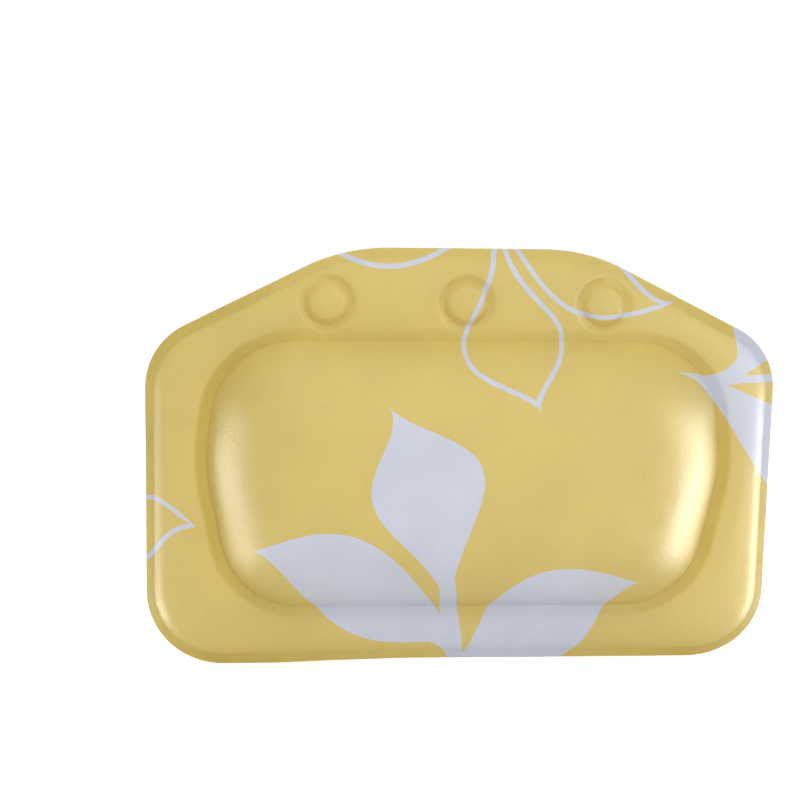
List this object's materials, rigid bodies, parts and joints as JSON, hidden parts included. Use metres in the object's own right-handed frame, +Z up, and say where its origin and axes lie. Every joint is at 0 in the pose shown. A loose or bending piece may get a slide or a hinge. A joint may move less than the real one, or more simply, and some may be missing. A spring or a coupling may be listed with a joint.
{
  "type": "bath pillow",
  "caption": "Soft crowned bath pillow with welded vinyl covers over foam, a pressed groove round its panel and clear suction cups on its back that hold it to a tub wall.",
  "frame": {"origin": "on the middle suction cup's axis, in the plane of the cups' lips, which is the face of the tub wall", "axes": "+X to the right seen from the front, +Y into the wall so the crowned front faces -Y, +Z up"},
  "size_m": [0.3298, 0.0418, 0.221],
  "materials": {
    "front_vinyl": "satin grained soft vinyl sheet, mustard yellow with white leaves",
    "back_vinyl": "satin grained soft vinyl sheet, mustard yellow with white leaves",
    "foam": "open-cell foam, unseen inside the covers",
    "clear_cup": "clear glossy soft vinyl",
    "anchor_vinyl": "milky soft vinyl, unseen inside the covers"
  },
  "bodies": {
    "pillow": {"front_cover": "front_vinyl", "back_cover": "back_vinyl", "core_foam": "foam", "border_foam": "foam", "anchor_disc_left": "anchor_vinyl", "anchor_disc_middle": "anchor_vinyl", "anchor_disc_right": "anchor_vinyl"},
    "cup_left": {"suction_cup_left": "clear_cup"},
    "cup_middle": {"suction_cup_middle": "clear_cup"},
    "cup_right": {"suction_cup_right": "clear_cup"}
  },
  "joints": [
    {"name": "cup_left_turn", "type": "hinge", "parent": "pillow", "child": "cup_left", "pos_m": [-0.072, 0, 0], "axis": [0, 1, 0], "continuous": true},
    {"name": "cup_middle_turn", "type": "hinge", "parent": "pillow", "child": "cup_middle", "pos_m": [0, 0, 0], "axis": [0, 1, 0], "continuous": true},
    {"name": "cup_right_turn", "type": "hinge", "parent": "pillow", "child": "cup_right", "pos_m": [0.072, 0, 0], "axis": [0, 1, 0], "continuous": true}
  ]
}
